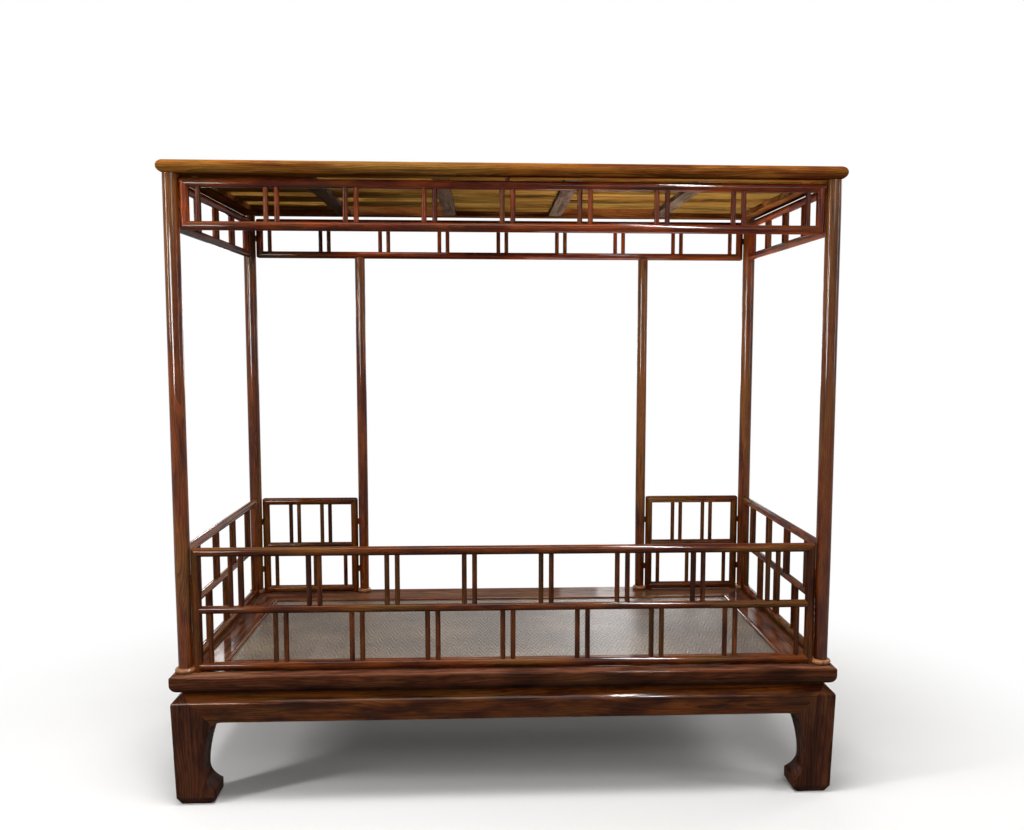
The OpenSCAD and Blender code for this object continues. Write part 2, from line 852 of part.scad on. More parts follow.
// A strut between two rails, its ends scribed to their curves and tenoned into them
module strut(x, z0, d0, z1, d1) {
  difference() {
    translate([x, 0, z0]) cylinder(h = z1 - z0, d = strut_d);
    translate([x - strut_d, 0, z0]) bar_x(2 * strut_d, d0 + joint_gap);
    translate([x - strut_d, 0, z1]) bar_x(2 * strut_d, d1 + joint_gap);
  }
  translate([x, 0, z0 + d0 / 2 - strut_tenon_l])
    centred_box([strut_tenon_w, strut_tenon_t, 2 * strut_tenon_l]);
  translate([x, 0, z1 - d1 / 2 - strut_tenon_l])
    centred_box([strut_tenon_w, strut_tenon_t, 2 * strut_tenon_l]);
}

rail_tenon_h = 14;

// A rail scribed to two stiles and tenoned into them
module scribed_rail(x0, x1, z, d, stile_d) {
  difference() {
    translate([x0, 0, z]) bar_x(x1 - x0, d);
    for (x = [x0, x1])
      translate([x, 0, z - d]) cylinder(h = 2 * d, d = stile_d + joint_gap);
  }
  for (x = [x0 + stile_d / 2 - strut_tenon_l, x1 - stile_d / 2 - strut_tenon_l])
    translate([x, -strut_tenon_t / 2, z - rail_tenon_h / 2])
      cube([2 * strut_tenon_l, strut_tenon_t, rail_tenon_h]);
}

// A tongue from a stile at x into the post that lies toward dir
module post_tongue(x, dir, stile_d, z) {
  reach = stile_d / 2 + panel_gap + tongue_l;
  translate([dir > 0 ? x : x - reach, -tongue_t / 2, z - tongue_h / 2])
    cube([reach, tongue_t, tongue_h]);
}

// The two stiles of a railing, with mortises for the rails and tongues for the posts. Their feet
// are scribed round the posts' turned bases.
module railing_stiles(span, a, b, base_a, base_b) {
  g = joint_gap / 2;
  for (end = [[a, -1, 0, base_a], [span - b, 1, span, base_b]]) {
    x = end[0];
    dir = end[1];
    difference() {
      intersection() {
        translate([x, 0, bed_h]) cylinder(h = railing_h, d = rail_d);
        translate([0, -rail_d, 0]) along_y(2 * rail_d) intersection() {
          polygon([
            [x + dir * rail_r, bed_h - 1], [x + dir * rail_r, top_rail_z + rail_r - g],
            [x - dir * rail_r, top_rail_z - rail_r - g], [x - dir * rail_r, bed_h - 1]
          ]);
          panel_outline(a - rail_r, span - b + rail_r, bed_h, bed_h + railing_h, false);
        }
      }
      for (z = [bottom_rail_z, middle_z])
        translate([x - dir * (rail_r - (strut_tenon_l - 1) / 2), 0, z - rail_tenon_h / 2 - g])
          centred_box([strut_tenon_l + 1 + 2 * g, strut_tenon_t + 2 * g, rail_tenon_h + 2 * g]);
      translate([end[2], 0, bed_h - 1])
        cylinder(h = post_base_h + 1 + joint_gap, d = end[3] + 2 * joint_gap);
    }
    for (z = railing_tongue_zs()) post_tongue(x, dir, rail_d, z);
  }
}

module railing_rails(span, a, b, low_row, high_row) {
  difference() {
    intersection() {
      mitred_rail(a, span - b, top_rail_z, rail_d, true);
      translate([0, -rail_d, 0]) along_y(2 * rail_d)
        panel_outline(a - rail_r, span - b + rail_r, bed_h, bed_h + railing_h, false);
    }
    strut_mortises(high_row, top_rail_z, rail_d, -1);
  }
  difference() {
    scribed_rail(a, span - b, middle_z, middle_rail_d, rail_d);
    strut_mortises(high_row, middle_z, middle_rail_d, 1);
    strut_mortises(low_row, middle_z, middle_rail_d, -1);
  }
  difference() {
    scribed_rail(a, span - b, bottom_rail_z, rail_d, rail_d);
    strut_mortises(low_row, bottom_rail_z, rail_d, 1);
  }
}

module railing_struts(low_row, high_row) {
  for (x = low_row) strut(x, bottom_rail_z, rail_d, middle_z, middle_rail_d);
  for (x = high_row) strut(x, middle_z, middle_rail_d, top_rail_z, rail_d);
}

back_low = stile_row(corner_stile, corner_stile, post_span_x, long_bays);
back_high = bay_row(corner_stile, corner_stile, post_span_x, long_bays);
side_low = stile_row(corner_stile, corner_stile, post_span_y, side_bays);
side_high = bay_row(corner_stile, corner_stile, post_span_y, side_bays);
entrance_low = stile_row(corner_stile, entrance_stile, entrance_rail_l, entrance_bays);
entrance_high = open_row(corner_stile, entrance_stile, entrance_rail_l, entrance_bays);

module at_back() {
  translate([-post_x, post_back, 0]) children();
}

module at_front() {
  translate([-post_x, post_front, 0]) children();
}

module at_left() {
  translate([-post_x, post_back, 0]) rotate([0, 0, 90]) children();
}

module at_right() {
  mirror([1, 0, 0]) at_left() children();
}

module back_railing_rails() {
  color(wood_red) at_back()
    railing_rails(post_span_x, corner_stile, corner_stile, back_low, back_high);
}

module back_railing_stiles() {
  color(wood_red) at_back()
    railing_stiles(post_span_x, corner_stile, corner_stile, corner_base_d, corner_base_d);
}

module back_railing_struts() {
  color(wood_red) at_back() railing_struts(back_low, back_high);
}

module left_railing_rails() {
  color(wood_red) at_left()
    railing_rails(post_span_y, corner_stile, corner_stile, side_low, side_high);
}

module left_railing_stiles() {
  color(wood_red) at_left()
    railing_stiles(post_span_y, corner_stile, corner_stile, corner_base_d, corner_base_d);
}

module left_railing_struts() {
  color(wood_red) at_left() railing_struts(side_low, side_high);
}

module right_railing_rails() {
  color(wood_red) at_right()
    railing_rails(post_span_y, corner_stile, corner_stile, side_low, side_high);
}

module right_railing_stiles() {
  color(wood_red) at_right()
    railing_stiles(post_span_y, corner_stile, corner_stile, corner_base_d, corner_base_d);
}

module right_railing_struts() {
  color(wood_red) at_right() railing_struts(side_low, side_high);
}

module entrance_left_rails() {
  color(wood_red) at_front()
    railing_rails(entrance_rail_l, corner_stile, entrance_stile, entrance_low, entrance_high);
}

module entrance_left_stiles() {
  color(wood_red) at_front()
    railing_stiles(entrance_rail_l, corner_stile, entrance_stile, corner_base_d, entrance_base_d);
}

module entrance_left_struts() {
  color(wood_red) at_front() railing_struts(entrance_low, entrance_high);
}

module entrance_right_rails() {
  color(wood_red) mirror([1, 0, 0]) at_front()
    railing_rails(entrance_rail_l, corner_stile, entrance_stile, entrance_low, entrance_high);
}

module entrance_right_stiles() {
  color(wood_red) mirror([1, 0, 0]) at_front()
    railing_stiles(entrance_rail_l, corner_stile, entrance_stile, corner_base_d, entrance_base_d);
}

module entrance_right_struts() {
  color(wood_red) mirror([1, 0, 0]) at_front() railing_struts(entrance_low, entrance_high);
}

// Friezes

back_frieze_row = stile_row(frieze_stile, frieze_stile, post_span_x, long_bays);
side_frieze_row = stile_row(frieze_stile, frieze_stile, post_span_y, side_bays);

module frieze_outline(span) {
  translate([0, -frieze_d, 0]) along_y(2 * frieze_d) panel_outline(
    frieze_stile - frieze_r, span - frieze_stile + frieze_r,
    frieze_low_z - frieze_r, frieze_top_z + frieze_r, true
  );
}

module frieze_frame(span, row) {
  a = frieze_stile;
  b = span - frieze_stile;
  g = joint_gap / 2;
  intersection() {
    difference() {
      mitred_rail(a, b, frieze_top_z, frieze_d, true);
      strut_mortises(row, frieze_top_z, frieze_d, -1);
    }
    frieze_outline(span);
  }
  intersection() {
    difference() {
      mitred_rail(a, b, frieze_low_z, frieze_d, false);
      strut_mortises(row, frieze_low_z, frieze_d, 1);
    }
    frieze_outline(span);
  }
  for (end = [[a, -1], [b, 1]]) {
    x = end[0];
    dir = end[1];
    intersection() {
      translate([x, 0, frieze_low_z - frieze_r]) cylinder(h = frieze_h, d = frieze_d);
      translate([0, -frieze_d, 0]) along_y(2 * frieze_d) polygon([
        [x + dir * frieze_r, frieze_low_z - frieze_r + g],
        [x + dir * frieze_r, frieze_top_z + frieze_r - g],
        [x - dir * frieze_r, frieze_top_z - frieze_r - g],
        [x - dir * frieze_r, frieze_low_z + frieze_r + g]
      ]);
      frieze_outline(span);
    }
    for (z = frieze_tongue_zs()) post_tongue(x, dir, frieze_d, z);
  }
}

module frieze_struts(row) {
  for (x = row) strut(x, frieze_low_z, frieze_d, frieze_top_z, frieze_d);
}

module back_frieze_frame() {
  color(wood_red) at_back() frieze_frame(post_span_x, back_frieze_row);
}

module back_frieze_struts() {
  color(wood_red) at_back() frieze_struts(back_frieze_row);
}

module front_frieze_frame() {
  peg_d = 0.5 * frieze_d + 2 * joint_gap;
  color(wood_red) difference() {
    at_front() frieze_frame(post_span_x, back_frieze_row);
    both_sides()
      translate([entrance_w / 2, post_front, frieze_low_z - frieze_r - 1])
        cylinder(h = 0.25 * frieze_d + 1 + joint_gap, d = peg_d);
  }
}

module front_frieze_struts() {
  color(wood_red) at_front() frieze_struts(back_frieze_row);
}

module left_frieze_frame() {
  color(wood_red) at_left() frieze_frame(post_span_y, side_frieze_row);
}

module left_frieze_struts() {
  color(wood_red) at_left() frieze_struts(side_frieze_row);
}

module right_frieze_frame() {
  color(wood_red) at_right() frieze_frame(post_span_y, side_frieze_row);
}

module right_frieze_struts() {
  color(wood_red) at_right() frieze_struts(side_frieze_row);
}

// One spacer stands in the middle of each long frieze, scribed to its top rail
module frieze_spacers() {
  color(wood_dark)
    for (y = [post_back, post_front])
      difference() {
        translate([0, y, frieze_top_z]) cylinder(h = canopy_z - frieze_top_z, d = spacer_w);
        translate([-spacer_w, y, frieze_top_z]) bar_x(2 * spacer_w, frieze_d + joint_gap);
      }
}

// Canopy

canopy_edge_r = canopy_t / 2;

// Sockets in the canopy for the corner posts
module canopy_sockets() {
  for (i = [0:3])
    translate([post_places()[i][0], post_places()[i][1], canopy_z - 1])
      cylinder(h = post_tenon_l + 1 + joint_gap, d = post_tenon_d + 2 * joint_gap);
}

// Middle of each crossbar along the bed
function crossbar_places() = [for (i = [1:crossbar_count]) i * crossbar_pitch - canopy_x];

module crossbar_tenons(extra) {
  for (x = crossbar_places())
    translate([x, post_mid_y, slat_z - slat_t / 2 - canopy_t / 8 - extra])
      centred_box([crossbar_w / 2 + 2 * extra,
        canopy_clear_y + 2 * crossbar_tenon + 2 * extra, canopy_t / 4 + 2 * extra]);
}

module canopy_long_member(side) {
  color(wood_gold) difference() {
    translate([0, post_mid_y, canopy_z]) mirror([0, side > 0 ? 1 : 0, 0])
      translate([0, -canopy_y, 0])
        mitred_board(2 * canopy_x, canopy_w, canopy_w, canopy_t, canopy_edge_r, canopy_edge_r);
    canopy_sockets();
    crossbar_tenons(joint_gap);
  }
}

module canopy_end_member(side) {
  color(wood_gold) difference() {
    translate([0, post_mid_y, canopy_z]) mirror([side > 0 ? 1 : 0, 0, 0])
      translate([-canopy_x, 0, 0]) rotate([0, 0, -90])
        mitred_board(2 * canopy_y, canopy_w, canopy_w, canopy_t, canopy_edge_r, canopy_edge_r);
    canopy_sockets();
    translate([0, post_mid_y, slat_z]) centred_box([
      2 * (canopy_x - canopy_w + slat_seat_w), canopy_clear_y, canopy_t
    ]);
  }
}

module canopy_member_back() {
  canopy_long_member(-1);
}

module canopy_member_front() {
  canopy_long_member(1);
}

module canopy_member_left() {
  canopy_end_member(-1);
}

module canopy_member_right() {
  canopy_end_member(1);
}

// Crossbars: a broad foot whose ledges carry the slats and a narrow rib between the slats
module canopy_crossbars() {
  foot_z = canopy_z + 2;
  rib_w = crossbar_w - 2 * slat_seat_w;
  run = canopy_clear_y - 2 * joint_gap;
  color(wood_dark) {
    for (x = crossbar_places()) {
      translate([x, post_mid_y, foot_z]) centred_box([crossbar_w, run, slat_z - foot_z]);
      translate([x, post_mid_y, slat_z - 1]) centred_box([rib_w, run, slat_t + 1]);
    }
    crossbar_tenons(0);
  }
}

// Left end of the slats in a bay: against the rib of the crossbar there, or in the end rebate
function bay_start(bay) = bay == 0
  ? canopy_w - slat_seat_w - canopy_x + joint_gap
  : bay * crossbar_pitch - canopy_x + crossbar_w / 2 - slat_seat_w + joint_gap;

// One slat, cut at the canopy's long members where it would pass them
module slat(x0, x1, y) {
  limit = canopy_clear_y / 2 - joint_gap;
  low = max(y - slat_w / 2, -limit);
  high = min(y + slat_w / 2, limit);
  if (high - low > slat_w / 4)
    translate([x0, post_mid_y + low, slat_z + joint_gap / 2])
      cube([x1 - x0, high - low, slat_t]);
}

// Slats in every bay; those of neighbouring bays are staggered by half a pitch
module canopy_slats() {
  reach = ceil(canopy_clear_y / 2 / slat_pitch) + 1;
  color(wood_slat)
    for (bay = [0:crossbar_count]) {
      stagger = (bay % 2 == 0 ? -0.5 : 0) * slat_pitch + slat_shift;
      shift = stagger + (bay == crossbar_count ? end_bay_shift : 0);
      for (i = [-reach:reach])
        slat(bay_start(bay), -bay_start(crossbar_count - bay), i * slat_pitch + shift);
    }
}

leg_back_left();
leg_back_right();
leg_front_left();
leg_front_right();
apron_back();
apron_front();
apron_left();
apron_right();
waist_back();
waist_front();
waist_left();
waist_right();
frame_board_back();
frame_board_front();
frame_board_left();
frame_board_right();
under_stretchers();
coir_webbing();
cane_mat();
mat_bead();
corner_post_back_left();
corner_post_back_right();
corner_post_front_left();
corner_post_front_right();
entrance_post_left();
entrance_post_right();
corner_post_bases();
entrance_post_bases();
back_railing_rails();
back_railing_stiles();
back_railing_struts();
left_railing_rails();
left_railing_stiles();
left_railing_struts();
right_railing_rails();
right_railing_stiles();
right_railing_struts();
entrance_left_rails();
entrance_left_stiles();
entrance_left_struts();
entrance_right_rails();
entrance_right_stiles();
entrance_right_struts();
back_frieze_frame();
back_frieze_struts();
front_frieze_frame();
front_frieze_struts();
left_frieze_frame();
left_frieze_struts();
right_frieze_frame();
right_frieze_struts();
frieze_spacers();
canopy_member_back();
canopy_member_front();
canopy_member_left();
canopy_member_right();
canopy_crossbars();
canopy_slats();
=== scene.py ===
import math
import random

import bmesh
import bpy
import numpy as np
from mathutils import Matrix, Vector


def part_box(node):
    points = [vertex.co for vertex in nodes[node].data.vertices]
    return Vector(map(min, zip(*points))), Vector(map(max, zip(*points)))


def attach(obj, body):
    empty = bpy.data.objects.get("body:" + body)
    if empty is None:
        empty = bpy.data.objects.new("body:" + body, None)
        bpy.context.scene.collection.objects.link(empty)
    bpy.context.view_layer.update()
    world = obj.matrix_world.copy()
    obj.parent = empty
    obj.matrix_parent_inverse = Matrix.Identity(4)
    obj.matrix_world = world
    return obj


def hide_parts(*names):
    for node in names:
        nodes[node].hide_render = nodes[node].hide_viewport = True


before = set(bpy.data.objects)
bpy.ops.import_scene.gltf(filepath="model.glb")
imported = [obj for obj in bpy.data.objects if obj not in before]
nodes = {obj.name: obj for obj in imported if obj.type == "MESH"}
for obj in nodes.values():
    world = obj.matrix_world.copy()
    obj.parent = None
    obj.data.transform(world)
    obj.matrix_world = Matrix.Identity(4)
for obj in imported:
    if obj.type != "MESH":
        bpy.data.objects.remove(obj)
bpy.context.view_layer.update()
print("frame loaded:", len(nodes), "nodes")


# camera 1.46 m above the floor, a little left of the middle, with a 35 mm lens

photoView = {
    "place": (-0.0666, -3.6472, 1.4646),
    "turnDeg": (84.5614, -0.1008, -2.8229),
    "lensMm": 35.156,
    "sensorMm": 36.0,
    "shift": (-0.02336, 0.02240),
    "clipEnd": 60.0,
}

cameraData = bpy.data.cameras.new("photoCamera")
cameraData.lens = photoView["lensMm"]
cameraData.sensor_width = photoView["sensorMm"]
cameraData.shift_x, cameraData.shift_y = photoView["shift"]
cameraData.clip_end = photoView["clipEnd"]
cameraObject = bpy.data.objects.new("photoCamera", cameraData)
cameraObject.location = photoView["place"]
cameraObject.rotation_euler = [math.radians(a) for a in photoView["turnDeg"]]
bpy.context.scene.collection.objects.link(cameraObject)
bpy.context.scene.camera = cameraObject
bpy.context.scene.view_settings.view_transform = "Standard"
print("camera set")


# small helpers for materials

def linear(hexColour):
    parts = [int(hexColour[i:i + 2], 16) / 255 for i in (1, 3, 5)]
    return [p / 12.92 if p <= 0.04045 else ((p + 0.055) / 1.055) ** 2.4 for p in parts] + [1.0]


def addNode(tree, kind, inputs=None, output=0, **settings):
    # one shader node with its settings, inputs set or linked; gives back the named output, if it has any
    node = tree.nodes.new("ShaderNode" + kind)
    for name, value in settings.items():
        setattr(node, name, value)
    for name, value in (inputs or {}).items():
        if isinstance(value, bpy.types.NodeSocket):
            tree.links.new(value, node.inputs[name])
        else:
            node.inputs[name].default_value = value
    return node.outputs[output] if node.outputs else None


def newMaterial(name):
    material = bpy.data.materials.new(name)
    material.use_nodes = True
    material.node_tree.nodes.clear()
    return material, material.node_tree


# a Mix node on colours takes its factor at 0, its colours at 6 and 7, and gives the mixed one at 2
colourMix = {"data_type": "RGBA", "output": 2}


def layColours(tree, look, layers, patterns):
    # lays each layer's tint over the colour before it, where the layer's pattern rises through its range;
    # gives back the colour and each layer's mask
    colour = linear(look["ground"])
    masks = {}
    for name, layer in layers.items():
        low, high = layer["rise"]
        masks[name] = addNode(tree, "MapRange", {
            "Value": patterns[name], "From Min": low, "From Max": high}, interpolation_type="SMOOTHSTEP")
        strength = layer["strength"] if "strength" in layer else look[name]
        amount = addNode(tree, "Math", {0: masks[name], 1: strength}, operation="MULTIPLY")
        colour = addNode(tree, "Mix", {0: amount, 6: colour, 7: linear(look[layer["tint"]])}, **colourMix)
    return colour, masks


# wood: planed and scraped by hand, with bold growth rings, short dark pores, patches where the stain took
# unevenly, and where there is lacquer, long thin highlights. Four colours each: the stained ground, its
# pale patches, the dark of rings and pores, and the yellower sapwood

woodKinds = {
    # legs and waist, elm stained dark, the lacquer rubbed thin: broad and faint highlights
    "darkElm": {"pale": "#784329", "ground": "#4a2515", "dark": "#140a06", "sap": "#663f24",
                "ringMm": 8.5, "patches": 0.6, "blots": 0.35, "rough": 0.5, "coat": 0.12},
    # boards of the sleeping frame, elm with the darkest stain, worn by use: streaky and nearly matt
    "boardElm": {"pale": "#6b3a20", "ground": "#3b1c0e", "dark": "#130904", "sap": "#644227",
                 "ringMm": 7.5, "patches": 0.8, "blots": 0.4, "rough": 0.5, "coat": 0.08},
    # aprons, the same stain on redder elm: blotchy, with a low sheen
    "apronElm": {"pale": "#7c4218", "ground": "#421d0b", "dark": "#130704", "sap": "#66401a",
                 "ringMm": 6.5, "patches": 0.8, "blots": 0.45, "rough": 0.5, "coat": 0.15},
    # posts, bead and the left railing's frame, elm under red lacquer rubbed to a gloss: sharp thin highlights
    "redElm": {"pale": "#964a15", "ground": "#59230b", "dark": "#180803", "sap": "#925c22",
               "ringMm": 4.5, "patches": 0.8, "blots": 0.25, "rough": 0.4, "coat": 0.45},
    # the other railings' frames, the same lacquer darkened by hands: softer highlights
    "railElm": {"pale": "#824010", "ground": "#4a1c08", "dark": "#140602", "sap": "#754d19",
                "ringMm": 4.5, "patches": 0.8, "blots": 0.3, "rough": 0.4, "coat": 0.22},
    # struts of the railings, the same again, a shade browner
    "strutElm": {"pale": "#7c4016", "ground": "#431c0b", "dark": "#130602", "sap": "#66421a",
                 "ringMm": 4.5, "patches": 0.8, "blots": 0.3, "rough": 0.4, "coat": 0.2},
    # friezes, out of the reach of hands: the red has stayed deep
    "deepRedElm": {"pale": "#a44817", "ground": "#61210d", "dark": "#150603", "sap": "#724520",
                   "ringMm": 4.5, "patches": 0.8, "blots": 0.3, "rough": 0.4, "coat": 0.22},
    # canopy's member on the camera's side, elm bleached to gold, its lacquer gone: matt
    "goldElm": {"pale": "#a86a2a", "ground": "#743d1c", "dark": "#2c1409", "sap": "#967236",
                "ringMm": 6.0, "patches": 0.8, "blots": 0.3, "rough": 0.65, "coat": 0.0},
    # canopy's other members, the same gold elm painted darker and browner: painted shade for their inner and
    # under faces under the roof
    "shadedGoldElm": {"pale": "#8a5024", "ground": "#552b14", "dark": "#1f0e07", "sap": "#73502a",
                 "ringMm": 6.0, "patches": 0.8, "blots": 0.35, "rough": 0.65, "coat": 0.0},
    # turned bases of the posts, pale elm polished on the lathe: small bright highlights
    "baseElm": {"pale": "#cc8c56", "ground": "#a26a3e", "dark": "#562e1a", "sap": "#a87a4e",
                "ringMm": 6.0, "patches": 0.8, "blots": 0.3, "rough": 0.35, "coat": 0.5},
    # roof slats, thin sawn elm, hardly finished: olive gold and matt
    "slatElm": {"pale": "#9a7032", "ground": "#704c21", "dark": "#2f1d0e", "sap": "#876a34",
                "ringMm": 9.0, "patches": 0.9, "blots": 0.4, "rough": 0.75, "coat": 0.0},
    # roof crossbars, bare elm gone grey: dull
    "greyElm": {"pale": "#82695a", "ground": "#58463a", "dark": "#241913", "sap": "#6e5c4a",
                "ringMm": 6.0, "patches": 0.6, "blots": 0.4, "rough": 0.7, "coat": 0.0},
    # stretchers under the mat, planed pine left bare: pale and even
    "plainPine": {"pale": "#c69a63", "ground": "#a87b47", "dark": "#7b5530", "sap": "#d0ab78",
                  "ringMm": 8.0, "patches": 0.4, "blots": 0.2, "rough": 0.62, "coat": 0.0},
}

# layers of the grain, each over the one before: its size in mm along and across the grain, how fine its
# noise is, the range in which it comes up, its colour, and how strongly it shows if the kind doesn't say.
# Fibres and pores are drawn about four times their real width, so that they show
woodLayers = {
    # stain that took unevenly, in patches a hand long
    "patches": {"mm": (200, 45.5), "detail": 3.0, "roughness": 0.55, "rise": (0.36, 0.64), "tint": "pale"},
    # sapwood, in runs half a metre long
    "sapRuns": {"mm": (588, 83.3), "detail": 2.0, "roughness": 0.5, "rise": (0.5, 0.62), "tint": "sap",
                "strength": 0.6},
    # late wood of the growth rings, which have their own pattern
    "rings": {"rise": (0.35, 1.0), "tint": "dark", "strength": 0.5},
    "fibres": {"mm": (71.4, 2.38), "detail": 3.0, "roughness": 0.6, "rise": (0.42, 0.68), "tint": "dark",
               "strength": 0.3},
    # long dark streaks
    "streaks": {"mm": (455, 13.3), "detail": 2.0, "roughness": 0.5, "rise": (0.56, 0.72), "tint": "dark",
                "strength": 0.6},
    "pores": {"mm": (26.3, 1.11), "detail": 1.0, "roughness": 0.5, "rise": (0.6, 0.7), "tint": "dark",
              "strength": 0.35},
    # dark blots where old lacquer has pooled
    "blots": {"mm": (111, 16.7), "detail": 3.0, "roughness": 0.6, "rise": (0.55, 0.68), "tint": "dark"},
}

# growth rings lie round a heart line that wanders slowly: a bend is wanderMm wide across the grain, 4.5
# times as long along it (1 / lengthen), and takes the line up to bendMm aside
woodRings = {"wanderMm": 111.1, "lengthen": 0.22, "bendMm": 60, "distortion": 1.6, "detailScale": 1.2}

# the tool's marks: shallow hollows in the wood that the lacquer follows less deeply, and the raised grain
woodSurface = {"scrapeMm": (100, 22.2), "hollowMm": 1.6, "rippleMm": 0.7, "scrapeStrength": 0.5,
               "grainMm": 0.35, "grainStrength": 0.35, "smoother": 0.07, "rougher": 0.1,
               "coatRoughness": 0.09, "coatIor": 1.45}

# members differ in tone, and the frame's upper faces are painted paler and duller: painted light from above,
# with some wear from bedding and hands
memberTones = (0.82, 1.2)
paintedTopLightAndWear = {"paler": 1.95, "duller": 0.9}

# degrees that lay the grain along local X
grainTurns = {"X": (0, 0, 0), "Y": (0, 0, -90), "Z": (0, 90, 0)}


def grainScale(alongMm, acrossMm):
    return 1000 / alongMm, 1000 / acrossMm, 1000 / acrossMm


def ringPattern(tree, along, ringMm):
    slow = addNode(tree, "Mapping", {"Vector": along, "Scale": (woodRings["lengthen"], 1.0, 1.0)})
    wander = addNode(tree, "TexNoise", {
        "Vector": slow, "Scale": 1000 / woodRings["wanderMm"], "Detail": 2.0}, "Color")
    bend = [woodRings["bendMm"] / 1000] * 3
    bentPlace = addNode(tree, "VectorMath", {0: wander, 1: bend, 2: slow}, operation="MULTIPLY_ADD")
    # at a scale of 1 the Wave Texture has 20 rings in 2 pi metres
    return addNode(tree, "TexWave", {
        "Vector": bentPlace, "Scale": 2 * math.pi / (20 * ringMm / 1000),
        "Distortion": woodRings["distortion"], "Detail": 2.0, "Detail Scale": woodRings["detailScale"]},
        "Fac", wave_type="RINGS", rings_direction="X", wave_profile="SAW")


def woodMaterial(kind, axis):
    look = woodKinds[kind]
    material, tree = newMaterial(kind + "Along" + axis)
    place = addNode(tree, "TexCoord", output="Object")
    shift = addNode(tree, "Attribute", output="Vector", attribute_name="memberShift")
    moved = addNode(tree, "VectorMath", {0: place, 1: shift}, operation="ADD")
    turn = [math.radians(a) for a in grainTurns[axis]]
    along = addNode(tree, "Mapping", {"Vector": moved, "Rotation": turn})

    patterns = {"rings": ringPattern(tree, along, look["ringMm"])}
    for name, layer in woodLayers.items():
        if "mm" in layer:
            spread = addNode(tree, "Mapping", {"Vector": along, "Scale": grainScale(*layer["mm"])})
            patterns[name] = addNode(tree, "TexNoise", {
                "Vector": spread, "Scale": 1.0, "Detail": layer["detail"], "Roughness": layer["roughness"]})
    colour, masks = layColours(tree, look, woodLayers, patterns)

    tone = addNode(tree, "Attribute", output="Fac", attribute_name="memberTone")
    # upper faces of the frame boards: painted light from above, with some wear, makes them paler and duller
    litWornTops = addNode(tree, "Attribute", output="Fac", attribute_name="paintedTopLightAndWear")
    bright = addNode(tree, "MapRange", {"Value": tone, "To Min": memberTones[0], "To Max": memberTones[1]})
    paler = addNode(tree, "MapRange", {"Value": litWornTops, "To Min": 1.0, "To Max": paintedTopLightAndWear["paler"]})
    duller = addNode(tree, "MapRange", {"Value": litWornTops, "To Min": 1.0, "To Max": paintedTopLightAndWear["duller"]})
    brightness = addNode(tree, "Math", {0: bright, 1: paler}, operation="MULTIPLY")
    toned = addNode(tree, "HueSaturation", {"Color": colour, "Saturation": duller, "Value": brightness})

    scrapeSpread = addNode(tree, "Mapping", {
        "Vector": along, "Scale": grainScale(*woodSurface["scrapeMm"])})
    scrapes = addNode(tree, "TexNoise", {"Vector": scrapeSpread, "Scale": 1.0, "Detail": 2.0})
    scraped = addNode(tree, "Bump", {
        "Height": scrapes, "Strength": woodSurface["scrapeStrength"],
        "Distance": woodSurface["hollowMm"] / 1000})
    rippled = addNode(tree, "Bump", {
        "Height": scrapes, "Strength": woodSurface["scrapeStrength"],
        "Distance": woodSurface["rippleMm"] / 1000})
    grain = addNode(tree, "Math", {0: patterns["fibres"], 1: masks["pores"]}, operation="SUBTRACT")
    grained = addNode(tree, "Bump", {
        "Height": grain, "Strength": woodSurface["grainStrength"],
        "Distance": woodSurface["grainMm"] / 1000, "Normal": scraped})
    roughness = addNode(tree, "MapRange", {
        "Value": patterns["patches"], "To Min": look["rough"] - woodSurface["smoother"],
        "To Max": look["rough"] + woodSurface["rougher"]})
    shader = addNode(tree, "BsdfPrincipled", {
        "Base Color": toned, "Roughness": roughness, "IOR": 1.5, "Specular IOR Level": 0.0,
        "Coat Weight": look["coat"], "Coat Roughness": woodSurface["coatRoughness"],
        "Coat IOR": woodSurface["coatIor"], "Normal": grained, "Coat Normal": rippled})
    addNode(tree, "OutputMaterial", {"Surface": shader})
    return material


# which wood each node is made of, by the start of its name; the first match counts

nodeKinds = (
    ("leg_", "darkElm"),
    ("waist_", "darkElm"),
    ("apron_", "apronElm"),
    ("frame_board_", "boardElm"),
    ("under_stretchers", "plainPine"),
    ("mat_bead", "redElm"),
    ("corner_post_bases", "baseElm"),
    ("entrance_post_bases", "baseElm"),
    ("corner_post_", "redElm"),
    ("entrance_post_", "redElm"),
    ("back_railing_rails", "railElm"),
    ("back_railing", "strutElm"),
    ("left_railing_struts", "strutElm"),
    ("left_railing", "redElm"),
    ("right_railing_struts", "strutElm"),
    ("right_railing", "railElm"),
    ("entrance_left_struts", "strutElm"),
    ("entrance_left", "railElm"),
    ("entrance_right_struts", "strutElm"),
    ("entrance_right", "railElm"),
    ("frieze_spacers", "darkElm"),
    ("back_frieze", "deepRedElm"),
    ("front_frieze", "deepRedElm"),
    ("left_frieze", "deepRedElm"),
    ("right_frieze", "deepRedElm"),
    ("canopy_member_back", "goldElm"),
    # the canopy's other members take the gold elm's darker copy, which is painted shade
    ("canopy_member", "shadedGoldElm"),
    ("canopy_crossbars", "greyElm"),
    ("canopy_slats", "slatElm"),
)
otherPieces = ("cane_mat", "coir_webbing")
memberChance = {"heart": 0.03, "along": 3}  # metres by which a member's heart and its length are shifted
upwards = 0.95  # a face whose normal rises more than this is an upper face
woodMaterials = {}


